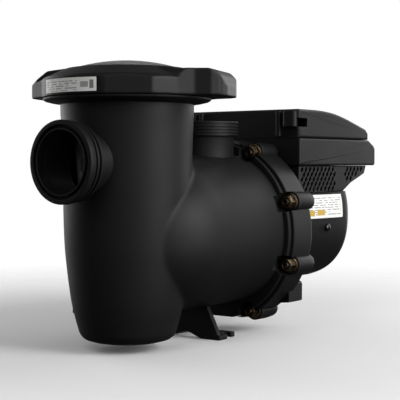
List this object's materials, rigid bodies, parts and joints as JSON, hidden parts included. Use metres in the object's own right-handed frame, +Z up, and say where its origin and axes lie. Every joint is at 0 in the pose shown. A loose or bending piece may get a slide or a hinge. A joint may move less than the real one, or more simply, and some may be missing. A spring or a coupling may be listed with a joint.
{
  "type": "pool pump",
  "caption": "Swimming pool circulation pump with strainer pot, clear lid, volute, finned motor shroud and top-mounted variable-speed drive.",
  "frame": {"origin": "middle of the length and width, on the plane under the feet", "axes": "+X from the suction port to the motor, +Y across, +Z up"},
  "size_m": [0.523, 0.2464, 0.323],
  "materials": {
    "black_housing": "satin moulded, fine texture",
    "black_cover": "satin moulded",
    "clear_lens": "clear polycarbonate",
    "grey_plastic": "satin",
    "rubber": "matt",
    "brass": "worn plated",
    "steel": "turned",
    "copper": "varnished winding",
    "aluminium": "as cast",
    "ceramic": "ground ceramic",
    "label": "printed film",
    "board": "solder mask",
    "dark_glass": "gloss",
    "capacitor": "sleeved"
  },
  "bodies": {
    "pump": {"strainer_housing": "black_housing", "diffuser": "grey_plastic", "shaft_seal_seat": "ceramic", "housing_o_ring": "rubber", "seal_plate": "black_housing", "stator": "copper", "front_bearing": "steel", "rear_bearing": "steel", "motor_frame": "aluminium", "motor_shell": "black_housing", "fan_cover": "black_cover", "ground_screw": "steel", "rating_label": "label", "vent_shroud": "black_cover", "heat_sink": "aluminium", "drive_housing": "black_cover", "drive_gasket": "rubber", "circuit_board": "board", "capacitor_1": "capacitor", "capacitor_2": "capacitor", "drive_cover": "black_cover", "control_panel": "grey_plastic", "display_window": "dark_glass", "conduit_plug": "black_cover", "flange_stud_1": "steel", "flange_nut_1": "brass", "flange_stud_2": "steel", "flange_nut_2": "brass", "flange_stud_3": "steel", "flange_nut_3": "brass", "flange_stud_4": "steel", "flange_nut_4": "brass", "flange_stud_5": "steel", "flange_nut_5": "brass", "flange_stud_6": "steel", "flange_nut_6": "brass", "flange_stud_7": "steel", "flange_nut_7": "brass", "flange_stud_8": "steel", "flange_nut_8": "brass"},
    "rotor": {"motor_shaft": "steel", "rotor_core": "steel", "impeller": "grey_plastic", "impeller_screw": "steel", "shaft_seal_ring": "steel", "cooling_fan": "black_cover"},
    "lid": {"lid_lens": "clear_lens", "lid_o_ring": "rubber"},
    "clamp_ring": {"lid_ring": "black_cover", "lid_label": "label"},
    "basket": {"strainer_basket": "grey_plastic"},
    "bail": {"basket_handle": "grey_plastic"},
    "pot_drain": {"pot_drain_plug": "black_housing"},
    "volute_drain": {"volute_drain_plug": "black_housing"},
    "flap": {"panel_cover": "black_cover"},
    "start_stop_button": {"start_stop_button": "grey_plastic"},
    "speed_down_button": {"speed_down_button": "grey_plastic"},
    "speed_up_button": {"speed_up_button": "grey_plastic"},
    "menu_button": {"menu_button": "grey_plastic"}
  },
  "joints": [
    {"name": "rotor_spin", "type": "hinge", "parent": "pump", "child": "rotor", "pos_m": [-0.1535, 0, 0.125], "axis": [1, 0, 0], "continuous": true},
    {"name": "lid_lift", "type": "slide", "parent": "pump", "child": "lid", "axis": [0, 0, 1], "range_m": [0, 0.53]},
    {"name": "clamp_turn", "type": "hinge", "parent": "lid", "child": "clamp_ring", "pos_m": [-0.1535, 0, 0.281], "axis": [0, 0, 1], "range_deg": [0, 45]},
    {"name": "basket_lift", "type": "slide", "parent": "pump", "child": "basket", "axis": [0, 0, 1], "range_m": [0, 0.28]},
    {"name": "bail_swing", "type": "hinge", "parent": "basket", "child": "bail", "pos_m": [-0.1535, 0, 0.253], "axis": [0, -1, 0], "range_deg": [0, 180]},
    {"name": "pot_drain_pull", "type": "slide", "parent": "pump", "child": "pot_drain", "axis": [0, 1, 0], "range_m": [0, 0.04]},
    {"name": "volute_drain_pull", "type": "slide", "parent": "pump", "child": "volute_drain", "axis": [0, 1, 0], "range_m": [0, 0.04]},
    {"name": "flap_hinge", "type": "hinge", "parent": "pump", "child": "flap", "pos_m": [0.138, 0, 0.273], "axis": [0, 1, 0], "range_deg": [0, 95]},
    {"name": "start_stop_button_press", "type": "slide", "parent": "pump", "child": "start_stop_button", "axis": [0, 0, -1], "range_m": [0, 0.0012], "stiffness_N_per_m": 400},
    {"name": "speed_down_button_press", "type": "slide", "parent": "pump", "child": "speed_down_button", "axis": [0, 0, -1], "range_m": [0, 0.0012], "stiffness_N_per_m": 400},
    {"name": "speed_up_button_press", "type": "slide", "parent": "pump", "child": "speed_up_button", "axis": [0, 0, -1], "range_m": [0, 0.0012], "stiffness_N_per_m": 400},
    {"name": "menu_button_press", "type": "slide", "parent": "pump", "child": "menu_button", "axis": [0, 0, -1], "range_m": [0, 0.0012], "stiffness_N_per_m": 400}
  ],
  "couplings": [
    {"joint": "basket_lift", "follows": "lid_lift", "ratio": 0.52}
  ]
}
